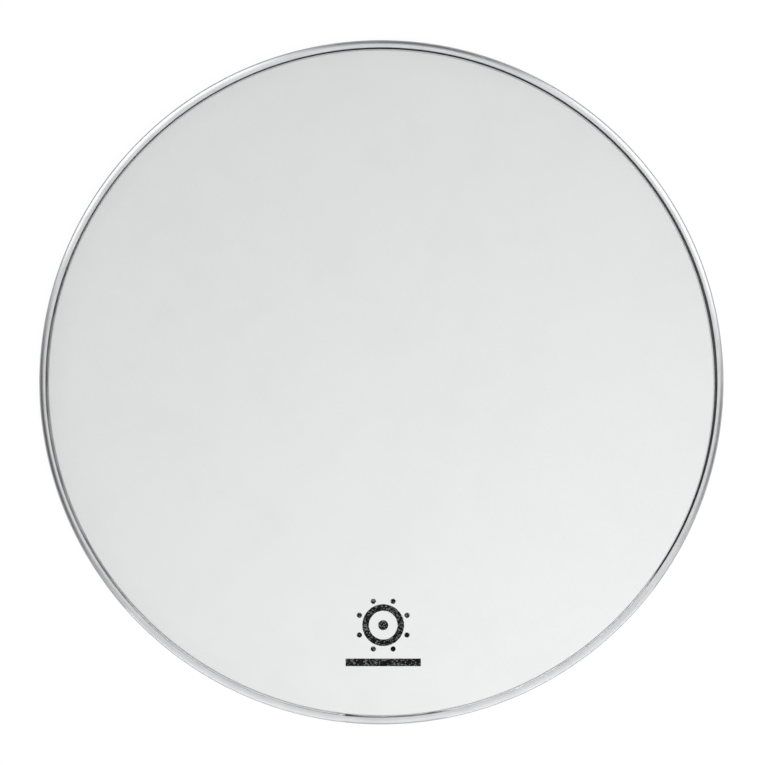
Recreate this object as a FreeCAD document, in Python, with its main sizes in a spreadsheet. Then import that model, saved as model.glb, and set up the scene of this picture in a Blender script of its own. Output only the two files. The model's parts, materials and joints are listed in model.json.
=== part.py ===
"""A 22-inch bass drum head: coated polyester film, potted in a rolled aluminium hoop.

Lengths are in millimetres. The head lies flat on its hoop, playing side up, centred on the Z axis. Each
round piece is a section, drawn as radius across and height up, and turned about Z.
"""

import FreeCAD, Part
import math
import os

import Sketcher
from FreeCAD import Placement, Rotation, Vector

# Name, value, what it is. Heights are above the hoop's foot, and radii are from the head's axis.
DIMENSIONS = [
    ("hoop_radius", 287.8, "outside of the hoop"),
    ("hoop_width", 8.8, "hoop's channel, across both walls"),
    ("hoop_height", 10.0, "top of the hoop"),
    ("hoop_wall", 1.0, "aluminium's thickness"),
    ("inner_wall_height", 7.6, "top of the hoop's inner wall"),
    ("lip_radius", 281.3, "edge of the hoop's rolled-in top"),
    ("roll_radius", 4.0, "bend from the outer wall into the top"),
    ("inner_foot_bend", 1.2, "hoop's lower bend beside the shell"),
    ("outer_foot_bend", 1.5, "hoop's lower outer bend"),
    ("channel_bend", 0.5, "lower bends inside the channel"),
    ("edge_round", 0.4, "hoop's cut edges, rounded"),
    ("seam_angle", 263.8, "where the hoop's ends meet, from +X"),
    ("seam_gap_angle", 0.03, "hairline between the hoop's ends"),
    ("film_thickness", 0.25, "polyester film"),
    ("film_clearance", 0.2, "film to the hoop's inner wall"),
    ("edge_height", 1.8, "underside of the film's turned-out edge"),
    ("edge_radius", 283.6, "rim of the film's turned-out edge"),
    ("edge_bend", 1.0, "bend into the turned-out edge"),
    ("lean_height", 7.9, "where the collar starts to lean in"),
    ("collar_radius", 278.05, "corner of collar and playing surface"),
    ("collar_height", 16.35, "corner of collar and playing surface"),
    ("collar_bend", 3.0, "bend from the collar to the playing surface"),
    ("collar_foot_bend", 6.0, "bend from the channel into the collar"),
    ("crown_radius", 262.0, "where the playing surface starts to fall"),
    ("head_height", 17.0, "top of the film's playing surface"),
    ("anchor_radius", 1.5, "punched anchoring hole"),
    ("anchor_height", 5.0, "centre of the anchoring holes"),
    ("anchor_count", 36, "anchoring holes round the film"),
    ("coat_thickness", 0.1, "white coating"),
    ("coat_foot", 10.5, "lower edge of the coating, on the collar"),
    ("resin_height", 7.0, "top of the resin in the channel"),
    ("key_width", 3.9, "joint key, across"),
    ("key_clearance", 0.1, "joint key to the hoop's outer wall"),
    ("key_bottom", 2.9, "underside of the joint key"),
    ("key_top", 6.3, "top of the joint key"),
    ("key_angle", 8.0, "how far the joint key reaches round"),
    ("key_round", 0.5, "joint key's long edges"),
    ("dimple_radius", 1.1, "punch mark over the joint key, at its mouth"),
    ("dimple_tip", 0.2, "punch mark, at its bottom"),
    ("dimple_depth", 0.45, "punch mark, into the outer wall"),
    ("dimple_start", 0.2, "punch mark's cone, outside the wall"),
    ("dimple_height", 4.0, "centre of the punch marks"),
    ("dimple_pitch_angle", 1.7, "between punch marks"),
    ("dab_angle", 0.7, "how far the seam filler reaches round"),
    ("dab_top", 9.7, "top of the seam filler"),
    ("dab_round", 0.25, "seam filler's upper edges"),
    ("ink_thickness", 0.05, "printed mark"),
    ("mark_across", 1.5, "centre of the mark, from the axis"),
    ("mark_down", 203.5, "centre of the mark, towards the edge"),
    ("mark_ring_outer", 17.5, "ring of the mark, outside"),
    ("mark_ring_inner", 12.0, "ring of the mark, inside"),
    ("mark_centre_dot", 4.2, "middle dot of the mark"),
    ("mark_dot", 2.2, "dots round the ring"),
    ("mark_dot_pitch", 21.6, "dots round the ring, centre to centre of the mark"),
    ("mark_bar_length", 63.0, "bar under the ring"),
    ("mark_bar_height", 6.4, "bar under the ring"),
    ("mark_bar_down", 31.2, "bar's centre below the ring's centre"),
]
MARK_DOTS = 8
DIMPLE_STEPS = (-1.5, -0.5, 0.5, 1.5)
ROLL_FLATS = 6
FOOT_FLATS = 3
SAME_PLACE = 1e-4


class Size:
    """A number and the spreadsheet formula it comes from, so that what is drawn with it is bound too."""

    def __init__(self, number, formula):
        self.number, self.formula = number, formula

    def joined(self, sign, other, number):
        return Size(number, f"({self.formula} {sign} {other.formula})")

    def __add__(self, other):
        other = as_size(other)
        return self.joined("+", other, self.number + other.number)

    def __sub__(self, other):
        other = as_size(other)
        return self.joined("-", other, self.number - other.number)

    def __mul__(self, other):
        other = as_size(other)
        return self.joined("*", other, self.number * other.number)

    def __truediv__(self, other):
        other = as_size(other)
        return self.joined("/", other, self.number / other.number)

    def __neg__(self):
        return Size(-self.number, f"(0 - {self.formula})")


def as_size(value):
    return value if isinstance(value, Size) else Size(value, repr(value))


def make_sheet(doc):
    """The spreadsheet of driving dimensions, and a Size for each of its names."""
    sheet = doc.addObject("Spreadsheet::Sheet", "Dimensions")
    for row, (name, value, meaning) in enumerate(DIMENSIONS, start=1):
        sheet.set(f"A{row}", meaning)
        sheet.set(f"B{row}", str(value))
        sheet.setAlias(f"B{row}", name)
    doc.recompute()
    return {name: Size(value, f"Dimensions.{name}") for name, value, _ in DIMENSIONS}


def bind(thing, setting, size):
    """Set a property, or part of one, from the spreadsheet."""
    thing.setExpression(setting, as_size(size).formula)


def own_plane(body, role):
    return next(part for part in body.Origin.OriginFeatures if part.Role == role)


def new_body(doc, label, turn=None):
    """A body with its own label, turned about Z by a Size in degrees."""
    body = doc.addObject("PartDesign::Body", label)
    body.Label = label
    if turn is not None:
        body.Placement = Placement(Vector(), Rotation(Vector(0, 0, 1), turn.number))
        bind(body, "Placement.Rotation.Angle", turn)
    return body


def new_sketch(body, name, role):
    sketch = body.newObject("Sketcher::SketchObject", name)
    sketch.AttachmentSupport = [(own_plane(body, role), "")]
    sketch.MapMode = "FlatFace"
    return sketch


def hold(sketch, geometry, point, across, up):
    """Hold a point of a sketch at a place from the spreadsheet, measured from the sketch's origin."""
    for kind, axis, size in (("DistanceX", -2, as_size(across)), ("DistanceY", -1, as_size(up))):
        if size.number == 0:
            sketch.addConstraint(Sketcher.Constraint("PointOnObject", geometry, point, axis))
        else:
            place = Sketcher.Constraint(kind, -1, 1, geometry, point, size.number)
            bind(sketch, f"Constraints[{sketch.addConstraint(place)}]", size)


def flat_place(corner):
    return Vector(as_size(corner[0]).number, as_size(corner[1]).number, 0)


def draw_bow(sketch, low, level):
    """An arc that rises from one corner to another, and is level where it arrives."""
    start, end = flat_place(low), flat_place(level)
    span, rise = start.x - end.x, end.y - start.y
    radius = (span**2 + rise**2) / (2 * rise)
    centre = end - Vector(0, radius, 0)
    half_turn = math.asin(span / radius) / 2
    middle = centre + Vector(math.sin(half_turn), math.cos(half_turn), 0) * radius
    bow = sketch.addGeometry(Part.Arc(start, middle, end), False)
    sketch.addConstraint(Sketcher.Constraint("Vertical", bow, 3, bow, 2))
    return bow


def draw_outline(sketch, corners, bows=()):
    """A closed outline through corners, each given as across and up, of straight lines and any bows."""
    sides = []
    for corner, following in zip(corners, corners[1:] + corners[:1]):
        if (corner, following) in bows:
            sides.append((draw_bow(sketch, corner, following), 1, 2))
        elif (following, corner) in bows:
            sides.append((draw_bow(sketch, following, corner), 2, 1))
        else:
            line = Part.LineSegment(flat_place(corner), flat_place(following))
            sides.append((sketch.addGeometry(line, False), 1, 2))
    for corner, (side, start, end), following in zip(corners, sides, sides[1:] + sides[:1]):
        sketch.addConstraint(Sketcher.Constraint("Coincident", side, end, *following[:2]))
        hold(sketch, side, start, *corner)


def draw_circle(sketch, across, up, radius):
    round_line = Part.Circle(flat_place((across, up)), Vector(0, 0, 1), radius.number)
    circle = sketch.addGeometry(round_line, False)
    hold(sketch, circle, 3, across, up)
    limit = sketch.addConstraint(Sketcher.Constraint("Radius", circle, radius.number))
    bind(sketch, f"Constraints[{limit}]", radius)


def turned(body, name, corners, angle=None, bows=()):
    """A section turned about the body's Z axis, all the way or by an angle shared to both sides of +X."""
    sketch = new_sketch(body, name + "_section", "XZ_Plane")
    draw_outline(sketch, corners, bows)
    ring = body.newObject("PartDesign::Revolution", name)
    ring.Profile = sketch
    ring.ReferenceAxis = (sketch, ["V_Axis"])
    if angle is not None:
        ring.Midplane = True
        bind(ring, "Angle", angle)
    body.Document.recompute()
    return ring


def edges_at(shape, corner):
    """Names of the edges that a section's corner leaves when it is turned about Z."""
    radius, height = (as_size(place).number for place in corner)
    return [
        f"Edge{number}"
        for number, edge in enumerate(shape.Edges, start=1)
        if isinstance(edge.Curve, Part.Circle)
        and abs(edge.Curve.Radius - radius) < SAME_PLACE
        and abs(edge.Curve.Center.z - height) < SAME_PLACE
    ]


def rounded(body, name, radius, corners):
    """Round the edges that some of the section's corners have left."""
    base = body.Tip
    names = [edge for corner in corners for edge in edges_at(base.Shape, corner)]
    if len(names) < len(corners):
        raise RuntimeError(f"{body.Label} {name}: found {len(names)} edges for {len(corners)} corners")
    fillet = body.newObject("PartDesign::Fillet", name)
    fillet.Base = (base, names)
    bind(fillet, "Radius", radius)
    body.Document.recompute()
    return fillet


def bend(centre, radius, first, flats):
    """Corners of a quarter bend, drawn as short flats, anticlockwise from an angle in degrees."""
    turns = [math.radians(first + 90 * step / flats) for step in range(flats + 1)]
    return [
        (centre[0] + radius * round(math.cos(turn), 6), centre[1] + radius * round(math.sin(turn), 6))
        for turn in turns
    ]


def make_hoop(doc, d):
    """The channel, open at the top, with a hairline butt joint and the punch marks over its key."""
    body = new_body(doc, "flesh_hoop", d["seam_angle"] + 180)
    inner, outer = d["hoop_radius"] - d["hoop_width"], d["hoop_radius"]
    wall, top, roll = d["hoop_wall"], d["hoop_height"], d["roll_radius"]
    foot_bend = d["outer_foot_bend"]
    foot_inside = (inner, 0)
    lip_top, lip_bottom = (d["lip_radius"], top), (d["lip_radius"], top - wall)
    channel_outside, channel_inside = (outer - wall, wall), (inner + wall, wall)
    wall_outside = (inner + wall, d["inner_wall_height"])
    wall_inside = (inner, d["inner_wall_height"])
    roll_centre = (outer - roll, top - roll)
    section = [foot_inside] + bend((outer - foot_bend, foot_bend), foot_bend, -90, FOOT_FLATS)
    section += bend(roll_centre, roll, 0, ROLL_FLATS) + [lip_top, lip_bottom]
    section += bend(roll_centre, roll - wall, 0, ROLL_FLATS)[::-1]
    section += [channel_outside, channel_inside, wall_outside, wall_inside]
    turned(body, "channel", section, as_size(360) - d["seam_gap_angle"])
    rounded(body, "inner_foot", d["inner_foot_bend"], [foot_inside])
    rounded(body, "channel_bends", d["channel_bend"], [channel_outside, channel_inside])
    rounded(body, "cut_edges", d["edge_round"], [lip_top, lip_bottom, wall_outside, wall_inside])
    for number, step in enumerate(DIMPLE_STEPS, start=1):
        punch_hoop(body, f"punch_mark_{number}", d, step)
    return body


def punch_hoop(body, name, d, step):
    """A cone-shaped punch mark, pointing inwards, on the outer wall opposite the body's +X side."""
    turn = math.radians(180 + step * d["dimple_pitch_angle"].number)
    outward = Vector(math.cos(turn), math.sin(turn), 0)
    faces_before = len(body.Tip.Shape.Faces)
    cone = body.newObject("PartDesign::SubtractiveCone", name)
    bind(cone, "Radius1", d["dimple_radius"])
    bind(cone, "Radius2", d["dimple_tip"])
    bind(cone, "Height", d["dimple_depth"] + d["dimple_start"])
    mouth = outward * (d["hoop_radius"] + d["dimple_start"]).number
    mouth.z = d["dimple_height"].number
    cone.Placement = Placement(mouth, Rotation(Vector(0, 0, 1), -outward))
    body.Document.recompute()
    if len(body.Tip.Shape.Faces) <= faces_before:
        raise RuntimeError(f"{name} cuts nothing")


def film_wall(d):
    """Radii of the film's inner and outer faces where it stands in the channel."""
    inside = d["hoop_radius"] - d["hoop_width"] + d["hoop_wall"] + d["film_clearance"]
    return inside, inside + d["film_thickness"]


def make_film(doc, d):
    """The film: turned-out edge, collar, crown and playing surface, with its ring of anchoring holes."""
    body = new_body(doc, "film_membrane")
    thick, top = d["film_thickness"], d["head_height"]
    inside, outside = film_wall(d)
    edge_under, edge_over = d["edge_height"], d["edge_height"] + thick
    foot_under, foot_over = (inside, edge_under), (outside, edge_over)
    lean_outside, lean_inside = (outside, d["lean_height"]), (inside, d["lean_height"])
    collar_outside = (d["collar_radius"], d["collar_height"])
    collar_inside = (d["collar_radius"] - thick, d["collar_height"] - thick)
    crown_over, crown_under = (d["crown_radius"], top), (d["crown_radius"], top - thick)
    section = [foot_under, (d["edge_radius"], edge_under), (d["edge_radius"], edge_over), foot_over]
    section += [lean_outside, collar_outside, crown_over, (0, top)]
    section += [(0, top - thick), crown_under, collar_inside, lean_inside]
    crowns = [(collar_outside, crown_over), (collar_inside, crown_under)]
    turned(body, "formed_film", section, bows=crowns)
    rounded(body, "edge_bend_under", d["edge_bend"] + thick, [foot_under])
    rounded(body, "edge_bend_over", d["edge_bend"], [foot_over])
    rounded(body, "collar_foot_outside", d["collar_foot_bend"] + thick, [lean_outside])
    rounded(body, "collar_foot_inside", d["collar_foot_bend"], [lean_inside])
    rounded(body, "collar_bend_outside", d["collar_bend"], [collar_outside])
    rounded(body, "collar_bend_inside", d["collar_bend"] - thick, [collar_inside])
    punch_film(body, d, inside)
    return body


def punch_film(body, d, wall_radius):
    """The ring of anchoring holes, punched through the wall that stands in the channel."""
    sketch = new_sketch(body, "anchor_hole", "YZ_Plane")
    draw_circle(sketch, 0, d["anchor_height"], d["anchor_radius"])
    faces_before = len(body.Tip.Shape.Faces)
    hole = body.newObject("PartDesign::Pocket", "anchor_punch")
    hole.Profile = sketch
    hole.Reversed = True
    bind(hole, "Length", wall_radius + d["film_thickness"] + 1)
    body.Document.recompute()
    if len(hole.Shape.Faces) <= faces_before:
        raise RuntimeError("the anchoring hole cuts nothing")
    ring = body.newObject("PartDesign::PolarPattern", "anchor_ring")
    ring.Originals = [hole]
    ring.Axis = (own_plane(body, "Z_Axis"), [""])
    ring.Angle = 360
    bind(ring, "Occurrences", d["anchor_count"])
    body.Tip = ring
    body.Document.recompute()


def collar_line(d, height):
    """Radius of the collar's outer face, between its two bends, at a height."""
    top_radius, top_height = d["collar_radius"], d["collar_height"]
    rise = top_height - d["lean_height"]
    return top_radius + (film_wall(d)[1] - top_radius) * (top_height - height) / rise


def make_coating(doc, d):
    """The white coat, from the collar over the crown and the whole playing surface."""
    body = new_body(doc, "white_coating")
    thick, top = d["coat_thickness"], d["head_height"]
    foot = (collar_line(d, d["coat_foot"]), d["coat_foot"])
    collar_under = (d["collar_radius"], d["collar_height"])
    collar_over = (d["collar_radius"] + thick, d["collar_height"] + thick)
    crown_under, crown_over = (d["crown_radius"], top), (d["crown_radius"], top + thick)
    section = [foot, (foot[0] + thick, foot[1]), collar_over, crown_over, (0, top + thick)]
    section += [(0, top), crown_under, collar_under]
    turned(body, "coat", section, bows=[(collar_over, crown_over), (collar_under, crown_under)])
    rounded(body, "collar_bend_under", d["collar_bend"], [collar_under])
    rounded(body, "collar_bend_over", d["collar_bend"] + thick, [collar_over])
    return body


def make_key(doc, d):
    """The curved bar inside the channel that holds the hoop's two ends in line."""
    body = new_body(doc, "joint_key", d["seam_angle"])
    outer = d["hoop_radius"] - d["hoop_wall"] - d["key_clearance"]
    inner = outer - d["key_width"]
    low, high = d["key_bottom"], d["key_top"]
    corners = [(inner, low), (outer, low), (outer, high), (inner, high)]
    turned(body, "bar", corners, d["key_angle"])
    rounded(body, "long_edges", d["key_round"], corners)
    return body


def make_resin(doc, d, film, key):
    """The resin in the channel, cast round the film's edge, through its holes and round the joint key."""
    body = new_body(doc, "channel_fill")
    inner = d["hoop_radius"] - d["hoop_width"] + d["hoop_wall"]
    outer, bottom, top = d["hoop_radius"] - d["hoop_wall"], d["hoop_wall"], d["resin_height"]
    foot_inside, foot_outside = (inner, bottom), (outer, bottom)
    turned(body, "fill", [foot_inside, foot_outside, (outer, top), (inner, top)])
    rounded(body, "fill_bends", d["channel_bend"], [foot_inside, foot_outside])
    held = doc.addObject("Part::MultiFuse", "held_in_resin")
    held.Shapes = [film, key]
    resin = doc.addObject("Part::Cut", "potting_resin")
    resin.Label = "potting_resin"
    resin.Base, resin.Tool = body, held
    doc.recompute()
    return resin


def make_filler(doc, d):
    """The dab of resin that fills the crevice between collar and lip at the hoop's joint."""
    body = new_body(doc, "seam_filler", d["seam_angle"])
    bottom, top, lean = d["resin_height"], d["dab_top"], d["lean_height"]
    lip, film_face = d["lip_radius"], film_wall(d)[1]
    inner_top, outer_top = (collar_line(d, top), top), (lip, top)
    corners = [(film_face, bottom), (lip, bottom), outer_top, inner_top, (film_face, lean)]
    turned(body, "dab", corners, d["dab_angle"])
    rounded(body, "dab_edges", d["dab_round"], [outer_top])
    return body


def make_mark(doc, d):
    """The printed mark: a drum from the front, as a ring with a middle dot and eight lugs, over a bar."""
    sketch = doc.addObject("Sketcher::SketchObject", "mark_outline")
    across, down = d["mark_across"], d["mark_down"]
    sketch.Placement = Placement(Vector(0, 0, (d["head_height"] + d["coat_thickness"]).number), Rotation())
    bind(sketch, "Placement.Base.z", d["head_height"] + d["coat_thickness"])
    for radius in (d["mark_ring_outer"], d["mark_ring_inner"], d["mark_centre_dot"]):
        draw_circle(sketch, across, -down, radius)
    for number in range(MARK_DOTS):
        turn = 2 * math.pi * (number + 0.5) / MARK_DOTS
        dot_across = across + d["mark_dot_pitch"] * round(math.cos(turn), 6)
        dot_up = d["mark_dot_pitch"] * round(math.sin(turn), 6) - down
        draw_circle(sketch, dot_across, dot_up, d["mark_dot"])
    left, right = across - d["mark_bar_length"] / 2, across + d["mark_bar_length"] / 2
    bar_up = -(down + d["mark_bar_down"])
    low, high = bar_up - d["mark_bar_height"] / 2, bar_up + d["mark_bar_height"] / 2
    draw_outline(sketch, [(left, low), (right, low), (right, high), (left, high)])
    mark = doc.addObject("Part::Extrusion", "printed_mark")
    mark.Label = "printed_mark"
    mark.Base = sketch
    mark.DirMode = "Normal"
    mark.Solid = True
    bind(mark, "LengthFwd", d["ink_thickness"])
    doc.recompute()
    return mark


def check(doc, pieces):
    """Stop on anything that failed to build, because a recompute doesn't."""
    for thing in doc.Objects:
        if "Invalid" in thing.State or "Error" in thing.State:
            raise RuntimeError(f"{thing.Name} is in state {thing.State}")
    for piece in pieces:
        if piece.Shape.isNull() or not piece.Shape.isValid() or not piece.Shape.Solids:
            raise RuntimeError(f"{piece.Label} has no valid solid")


def main():
    doc = FreeCAD.newDocument("drum_head")
    d = make_sheet(doc)
    film, key = make_film(doc, d), make_key(doc, d)
    pieces = [make_hoop(doc, d), film, key, make_resin(doc, d, film, key)]
    pieces += [make_coating(doc, d), make_filler(doc, d), make_mark(doc, d)]
    doc.recompute()
    check(doc, pieces)
    os.makedirs("parts", exist_ok=True)
    for piece in pieces:
        piece.Shape.exportStep(f"parts/{piece.Label}.step")
        box = piece.Shape.optimalBoundingBox(False)
        print(
            f"{piece.Label}: {len(piece.Shape.Solids)} solids, {piece.Shape.Volume:.1f} mm3,"
            f" z {box.ZMin:.2f} to {box.ZMax:.2f}, radius {box.XMax:.2f}"
        )


main()
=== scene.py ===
"""A coated bass drum head in its aluminium hoop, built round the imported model. Lengths are in metres."""

import json
import math

import bpy
import numpy as np
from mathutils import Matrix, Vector


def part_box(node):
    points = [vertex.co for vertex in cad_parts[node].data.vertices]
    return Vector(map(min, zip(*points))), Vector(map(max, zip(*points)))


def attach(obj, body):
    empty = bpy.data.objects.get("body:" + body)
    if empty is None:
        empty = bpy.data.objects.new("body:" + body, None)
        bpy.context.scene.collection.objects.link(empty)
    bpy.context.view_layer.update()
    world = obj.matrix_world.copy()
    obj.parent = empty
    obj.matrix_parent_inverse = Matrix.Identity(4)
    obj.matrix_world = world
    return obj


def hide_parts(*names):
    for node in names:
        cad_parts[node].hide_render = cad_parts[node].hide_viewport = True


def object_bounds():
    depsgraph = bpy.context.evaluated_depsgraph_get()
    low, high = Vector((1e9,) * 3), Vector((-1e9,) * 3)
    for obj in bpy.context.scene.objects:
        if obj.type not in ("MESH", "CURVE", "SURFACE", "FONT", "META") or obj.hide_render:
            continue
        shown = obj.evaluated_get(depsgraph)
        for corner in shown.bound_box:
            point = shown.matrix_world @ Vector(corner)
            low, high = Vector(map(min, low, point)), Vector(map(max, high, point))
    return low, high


bl_info = {
    "name": "Bass Drum Head",
    "version": (1, 0, 0),
    "blender": (4, 5, 0),
    "location": "View3D > Sidebar > Drum Head",
    "description": "Builds a coated drum head, its hoop, resin and printed mark, and a studio round them",
    "category": "Add Mesh",
}

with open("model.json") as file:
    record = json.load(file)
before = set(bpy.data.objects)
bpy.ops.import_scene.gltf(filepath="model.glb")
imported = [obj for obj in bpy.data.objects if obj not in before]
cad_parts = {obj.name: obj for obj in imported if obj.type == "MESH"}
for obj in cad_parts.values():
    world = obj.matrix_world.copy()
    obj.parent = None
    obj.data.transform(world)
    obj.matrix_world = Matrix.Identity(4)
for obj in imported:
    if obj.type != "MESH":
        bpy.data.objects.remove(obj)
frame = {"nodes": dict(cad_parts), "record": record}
CAD_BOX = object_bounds()
MM = 0.001
FULL_TURN = 2 * math.pi


def mount_radius(name):
    """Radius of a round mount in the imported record, in metres."""
    mount = next(m for m in frame["record"]["mounts"] if m["name"] == name)
    return mount["dims"]["r_mm"] * MM


def top_of(node):
    """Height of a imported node's top, in metres."""
    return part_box(node)[1].z


def foot_of(node):
    """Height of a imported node's lowest point, in metres."""
    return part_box(node)[0].z


# ---------------------------------------------------------------- sizes and colours


def length(name, default, description):
    return bpy.props.FloatProperty(
        name=name, description=description, default=default, unit="LENGTH", subtype="DISTANCE", precision=5
    )


def turn(name, degrees, description):
    return bpy.props.FloatProperty(
        name=name, description=description, default=math.radians(degrees), unit="ROTATION", subtype="ANGLE"
    )


def share(name, default, description):
    return bpy.props.FloatProperty(
        name=name, description=description, default=default, min=0.0, max=1.0, subtype="FACTOR"
    )


def colour(name, default, description):
    return bpy.props.FloatVectorProperty(
        name=name, description=description, default=default, size=3, min=0.0, max=1.0, subtype="COLOR"
    )


class DrumHeadSizes(bpy.types.PropertyGroup):
    """Sizes of the hoop, the film and what is on it"""

    hoop_radius: length("Hoop Radius", mount_radius("counterhoop_pilot"), "Outside of the hoop")
    shell_radius: length("Shell Radius", mount_radius("shell_seat"), "Inside of the hoop, round the shell")
    hoop_height: length("Hoop Height", top_of("flesh_hoop"), "Top of the hoop above its foot")
    hoop_wall: length("Hoop Wall", 1.0 * MM, "Thickness of the aluminium")
    inner_wall_height: length("Inner Wall Height", 7.6 * MM, "Top of the hoop's inner wall")
    lip_radius: length("Lip Radius", 281.3 * MM, "Edge of the hoop's rolled-in top")
    roll_radius: length("Roll Radius", 4.0 * MM, "Bend from the outer wall into the top")
    seam_angle: turn("Seam Angle", 263.8, "Where the hoop's ends meet, from +X")
    seam_step: length("Seam Step", 0.22 * MM, "How far one end of the hoop stands proud of the other")
    film_thickness: length("Film Thickness", 0.25 * MM, "Polyester film")
    collar_radius: length("Collar Radius", 278.5 * MM, "Corner of the collar and the playing surface")
    collar_height: length("Collar Height", 16.35 * MM, "Corner of the collar and the playing surface")
    collar_bend: length("Collar Bend", 1.2 * MM, "Bend from the collar to the playing surface")
    lean_height: length("Lean Height", 7.9 * MM, "Where the collar starts to lean in")
    crown_radius: length("Crown Radius", 262.0 * MM, "Where the playing surface starts to fall")
    head_height: length("Head Height", top_of("film_membrane"), "Top of the film's playing surface")
    coat_thickness: length(
        "Coat Thickness", top_of("white_coating") - top_of("film_membrane"), "White coating"
    )
    coat_foot: length("Coat Foot", foot_of("white_coating"), "Lower edge of the coating, on the collar")
    resin_height: length("Resin Height", top_of("potting_resin"), "Top of the resin in the channel")
    ink_thickness: length("Ink Thickness", top_of("printed_mark") - top_of("white_coating"), "Printed mark")
    ripple: length("Ripple", 0.06 * MM, "Height of the slack ripples near the playing surface's rim")
    mark_across: length("Mark Across", 1.5 * MM, "Centre of the mark's ring, along X")
    mark_up: length("Mark Up", -203.5 * MM, "Centre of the mark's ring, along Y")


class DrumHeadColours(bpy.types.PropertyGroup):
    """Colours of the drum head's materials and of the studio"""

    aluminium: colour("Aluminium", (0.915, 0.92, 0.93), "Rolled aluminium of the hoop")
    key: colour("Key", (0.66, 0.67, 0.69), "Mill-finish aluminium of the bar at the joint")
    coating: colour("Coating", (0.628, 0.630, 0.627), "Sprayed white coating")
    film: colour("Film", (0.66, 0.69, 0.70), "Hazy polyester film")
    resin: colour("Resin", (0.13, 0.13, 0.127), "Cast resin in the channel")
    # Painted light: the resin's pale colour where it has risen stands in for light reaching into the crevice.
    resin_pale_light: colour("Resin Skin", (0.72, 0.72, 0.71), "Cloudy skin of the resin where it has risen")
    filler: colour("Filler", (0.62, 0.62, 0.60), "Pale resin at the hoop's joint")
    ink: colour("Ink", (0.004, 0.004, 0.004), "Black printing ink")
    floor: colour("Floor", (0.38, 0.38, 0.38), "Studio floor, as the hoop reflects it")
    grain: share("Grain", 0.045, "How much the coating's mottling darkens it")


# ---------------------------------------------------------------- shader expressions


class Value:
    """The output of a shader node. Python's operators add the Math nodes that they stand for."""

    def __init__(self, recipe, socket):
        self.recipe, self.socket = recipe, socket

    def __add__(self, other):
        return self.recipe.math("ADD", self, other)

    def __sub__(self, other):
        return self.recipe.math("SUBTRACT", self, other)

    def __mul__(self, other):
        return self.recipe.math("MULTIPLY", self, other)

    def __rsub__(self, other):
        return self.recipe.math("SUBTRACT", other, self)

    __radd__ = __add__
    __rmul__ = __mul__


class Recipe:
    """A node tree that is being written."""

    def __init__(self, tree):
        self.tree = tree
        tree.nodes.clear()

    def node(self, kind, settings=None, sockets=None, output=0):
        """Adds any node: its settings first, then its sockets, each a plain value or a link from a Value."""
        made = self.tree.nodes.new(kind)
        for name, value in (settings or {}).items():
            setattr(made, name, value)
        for name, value in (sockets or {}).items():
            if isinstance(value, Value):
                self.tree.links.new(value.socket, made.inputs[name])
            else:
                made.inputs[name].default_value = value
        return Value(self, made.outputs[output]) if len(made.outputs) else made

    def math(self, operation, *values):
        return self.node("ShaderNodeMath", {"operation": operation}, dict(enumerate(values)))

    def mix(self, factor, first, second):
        """A colour between two others. Each colour is a triple or a Value."""
        first, second = (c if isinstance(c, Value) else (*c, 1.0) for c in (first, second))
        return self.node("ShaderNodeMix", {"data_type": "RGBA"}, {0: factor, 6: first, 7: second}, output=2)

    def place(self):
        """Where a point is on its piece, in metres."""
        return self.node("ShaderNodeTexCoord", output=3)

    def parts(self, vector):
        """A vector's three numbers."""
        split = self.tree.nodes.new("ShaderNodeSeparateXYZ")
        self.tree.links.new(vector.socket, split.inputs[0])
        return [Value(self, socket) for socket in split.outputs]

    def joined(self, x, y, z):
        return self.node("ShaderNodeCombineXYZ", None, {0: x, 1: y, 2: z})

    def noise(self, vector, scale, detail, roughness=0.5):
        sockets = {"Vector": vector, "Scale": scale, "Detail": detail, "Roughness": roughness}
        return self.node("ShaderNodeTexNoise", {"noise_dimensions": "3D"}, sockets)

    def cells(self, vector, scale):
        """Scattered points: how many spacings away the nearest one is, and a random number that it keeps."""
        sockets = {"Vector": vector, "Scale": scale, "Randomness": 1.0}
        near = self.node("ShaderNodeTexVoronoi", {"voronoi_dimensions": "3D"}, sockets)
        tint = Value(self, near.socket.node.outputs["Color"])
        return near, self.parts(tint)[0]

    def between(self, value, low, high):
        """0 below low, 1 above high, and a smooth step from one to the other."""
        sockets = {"Value": value, "From Min": low, "From Max": high}
        return self.node("ShaderNodeMapRange", {"interpolation_type": "SMOOTHSTEP", "clamp": True}, sockets)

    def bump(self, height, distance, strength, under=None):
        sockets = {"Height": height, "Distance": distance, "Strength": strength}
        if under is not None:
            sockets["Normal"] = under
        return self.node("ShaderNodeBump", None, sockets)

    def finish(self, **sockets):
        """The surface shader, with its sockets named in words joined by underscores."""
        named = {name.replace("_", " "): value for name, value in sockets.items()}
        surface = self.node("ShaderNodeBsdfPrincipled", None, named)
        self.node("ShaderNodeOutputMaterial", None, {"Surface": surface})


def new_material(name):
    material = bpy.data.materials.new(name)
    material.use_nodes = True
    return material, Recipe(material.node_tree)


def darker(tint, amount):
    """A tint with each channel lowered by a share."""
    return tuple(channel * (1 - amount) for channel in tint)


BLACK, WHITE = (0.0, 0.0, 0.0), (1.0, 1.0, 1.0)
HOOP_WRAP = "hoop_wrap"


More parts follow.
